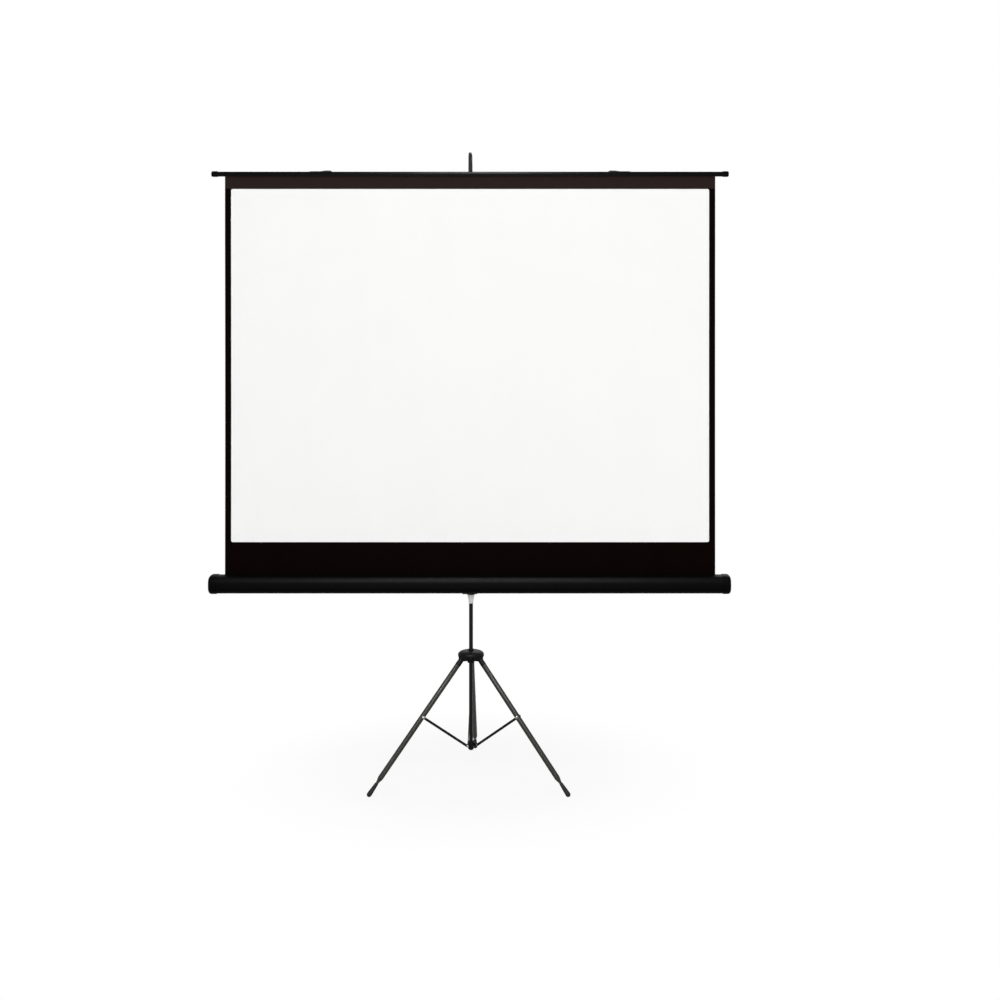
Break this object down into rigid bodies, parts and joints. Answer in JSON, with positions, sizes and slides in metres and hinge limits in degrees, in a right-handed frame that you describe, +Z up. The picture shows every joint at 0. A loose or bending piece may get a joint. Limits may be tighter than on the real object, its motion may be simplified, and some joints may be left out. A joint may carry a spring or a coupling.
{
  "type": "tripod projection screen",
  "caption": "Portable projection screen: white surface with black borders drawn from a swivelling roller case up to a gooseneck on a telescopic mast, on a folding tripod.",
  "frame": {"origin": "on the floor, at the middle of the footprint box of the three feet", "axes": "+Z up along the mast, +Y from the screen towards the rear leg, +X to the right of a viewer facing the screen"},
  "size_m": [1.852, 0.6174, 2.2645],
  "materials": {
    "case_paint": "satin black paint",
    "tube_paint": "satin black paint",
    "leg_paint": "satin dark grey paint",
    "black_plastic": "fine moulded grain",
    "foot_rubber": "matt rubber",
    "pale_nylon": "natural nylon",
    "zinc_steel": "zinc plated",
    "bare_steel": "bare steel",
    "white_face": "matt white coated cloth",
    "black_sheet": "matt black coated cloth",
    "slat_metal": "black anodised"
  },
  "bodies": {
    "mast": {"mast_outer_tube": "tube_paint", "mast_foot_hub": "black_plastic", "extension_lock_collar": "black_plastic", "hub_pin_rear": "zinc_steel", "hub_pin_right": "zinc_steel", "hub_pin_left": "zinc_steel"},
    "extension_button": {"extension_lock_button": "black_plastic"},
    "crown": {"tripod_crown": "black_plastic", "leg_rear_pin": "tube_paint", "leg_right_pin": "tube_paint", "leg_left_pin": "tube_paint"},
    "crown_button": {"crown_lock_button": "zinc_steel"},
    "carriage": {"carriage_sleeve": "black_plastic", "carry_handle": "black_plastic", "carriage_guide_bush": "pale_nylon", "case_pivot_stud": "bare_steel"},
    "carriage_button": {"carriage_release_button": "black_plastic"},
    "case": {"case_shell": "case_paint", "case_cap_left": "black_plastic", "case_cap_right": "black_plastic", "case_saddle": "black_plastic", "spring_rod": "bare_steel", "torsion_spring": "bare_steel", "screen_mask_sheet": "black_sheet", "screen_white_face": "white_face"},
    "roller": {"roller_tube": "bare_steel", "roller_plug_left": "black_plastic", "roller_plug_right": "black_plastic", "roller_safety_wraps": "black_sheet"},
    "slat": {"slat_bar": "slat_metal", "slat_knob_left": "black_plastic", "slat_knob_right": "black_plastic", "slat_pad_left": "black_plastic", "slat_pad_right": "black_plastic", "hanger_strap": "bare_steel"},
    "extension": {"mast_inner_tube": "tube_paint", "inner_tube_stop": "pale_nylon", "top_bracket": "black_plastic", "bracket_rivet": "zinc_steel"},
    "leg_rear": {"leg_rear_tube": "leg_paint", "leg_rear_knuckle": "black_plastic", "leg_rear_foot": "foot_rubber"},
    "strut_rear": {"strut_rear": "tube_paint", "strut_rear_rivet": "zinc_steel"},
    "leg_right": {"leg_right_tube": "leg_paint", "leg_right_knuckle": "black_plastic", "leg_right_foot": "foot_rubber"},
    "strut_right": {"strut_right": "tube_paint", "strut_right_rivet": "zinc_steel"},
    "leg_left": {"leg_left_tube": "leg_paint", "leg_left_knuckle": "black_plastic", "leg_left_foot": "foot_rubber"},
    "strut_left": {"strut_left": "tube_paint", "strut_left_rivet": "zinc_steel"}
  },
  "joints": [
    {"name": "case_swivel", "type": "hinge", "parent": "carriage", "child": "case", "pos_m": [0, -0.12924, 0.724], "axis": [0, -1, 0], "range_deg": [0, 90]},
    {"name": "crown_slide", "type": "slide", "parent": "mast", "child": "crown", "axis": [0, 0, 1], "range_m": [0, 0.1478]},
    {"name": "leg_rear_fold", "type": "hinge", "parent": "crown", "child": "leg_rear", "pos_m": [0, -0.06504, 0.443], "axis": [-1, 0, 0], "range_deg": [0, 40.05]},
    {"name": "leg_right_fold", "type": "hinge", "parent": "crown", "child": "leg_right", "pos_m": [0.03031, -0.11754, 0.443], "axis": [0.5, 0.866, 0], "range_deg": [0, 40.05]},
    {"name": "leg_left_fold", "type": "hinge", "parent": "crown", "child": "leg_left", "pos_m": [-0.03031, -0.11754, 0.443], "axis": [0.5, -0.866, 0], "range_deg": [0, 40.05]},
    {"name": "strut_rear_fold", "type": "hinge", "parent": "mast", "child": "strut_rear", "pos_m": [0, -0.07904, 0.126], "axis": [1, 0, 0], "range_deg": [0, 50.66]},
    {"name": "strut_right_fold", "type": "hinge", "parent": "mast", "child": "strut_right", "pos_m": [0.01819, -0.11054, 0.126], "axis": [-0.5, -0.866, 0], "range_deg": [0, 50.66]},
    {"name": "strut_left_fold", "type": "hinge", "parent": "mast", "child": "strut_left", "pos_m": [-0.01819, -0.11054, 0.126], "axis": [-0.5, 0.866, 0], "range_deg": [0, 50.66]},
    {"name": "carriage_slide", "type": "slide", "parent": "mast", "child": "carriage", "axis": [0, 0, 1], "range_m": [0, 0.216]},
    {"name": "mast_extension", "type": "slide", "parent": "mast", "child": "extension", "axis": [0, 0, -1], "range_m": [0, 0.372]},
    {"name": "screen_roll_up", "type": "slide", "parent": "case", "child": "slat", "axis": [0, 0, -1], "range_m": [0, 1.417], "deforming": ["screen_mask_sheet", "screen_white_face"]},
    {"name": "roller_turn", "type": "hinge", "parent": "case", "child": "roller", "pos_m": [0, -0.19604, 0.724], "axis": [-1, 0, 0], "range_deg": [0, 4730]},
    {"name": "extension_button_press", "type": "slide", "parent": "mast", "child": "extension_button", "axis": [0, -1, 0], "range_m": [0, 0.003], "stiffness_N_per_m": 900},
    {"name": "carriage_button_press", "type": "slide", "parent": "carriage", "child": "carriage_button", "axis": [0, -1, 0], "range_m": [0, 0.003], "stiffness_N_per_m": 900},
    {"name": "crown_button_press", "type": "slide", "parent": "crown", "child": "crown_button", "axis": [0, 1, 0], "range_m": [0, 0.0025], "stiffness_N_per_m": 900}
  ],
  "couplings": [
    {"joint": "crown_slide", "follows": "case_swivel", "m_per_rad": 0.093991},
    {"joint": "leg_rear_fold", "follows": "case_swivel", "ratio": 0.44444},
    {"joint": "leg_right_fold", "follows": "case_swivel", "ratio": 0.44444},
    {"joint": "leg_left_fold", "follows": "case_swivel", "ratio": 0.44444},
    {"joint": "strut_rear_fold", "follows": "case_swivel", "ratio": 0.56197},
    {"joint": "strut_right_fold", "follows": "case_swivel", "ratio": 0.56197},
    {"joint": "strut_left_fold", "follows": "case_swivel", "ratio": 0.56197},
    {"joint": "roller_turn", "follows": "screen_roll_up", "rad_per_m": 57.67}
  ]
}
